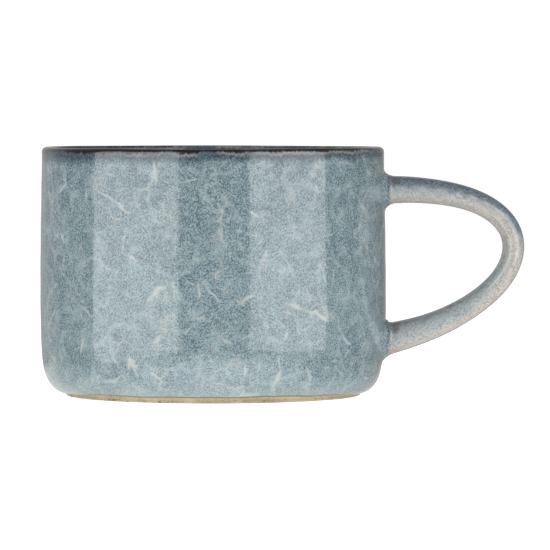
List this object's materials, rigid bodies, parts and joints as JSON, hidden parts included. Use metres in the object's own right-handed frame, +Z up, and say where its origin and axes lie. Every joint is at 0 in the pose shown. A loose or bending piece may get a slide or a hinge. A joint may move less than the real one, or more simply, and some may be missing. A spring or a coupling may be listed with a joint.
{
  "type": "mug",
  "caption": "Low wide stoneware mug with an upright wall, a turned bare foot, a dark rim and a pointed oval loop handle.",
  "frame": {"origin": "centre of the foot, on the surface that the mug stands on", "axes": "+Z up along the cup's axis, +X from the axis towards the handle"},
  "size_m": [0.1261, 0.09, 0.0645],
  "materials": {
    "stoneware": "matte bare fired clay, buff with fine dark specks",
    "slip": "matte fired slip",
    "blue_glaze": "gloss reactive glaze, grey blue with dark specks and cream veins",
    "liner_glaze": "gloss reactive glaze, grey blue, darker where it pools on the floor",
    "rim_glaze": "gloss iron brown, nearly black",
    "handle_glaze": "gloss reactive glaze, dark blue specks above, cream below"
  },
  "bodies": {
    "root": {"cup_body": "stoneware", "handle": "stoneware", "upper_slip_joint": "slip", "lower_slip_joint": "slip", "outer_glaze": "blue_glaze", "inner_glaze": "liner_glaze", "base_glaze": "liner_glaze", "rim_glaze": "rim_glaze", "handle_glaze": "handle_glaze"}
  },
  "joints": []
}
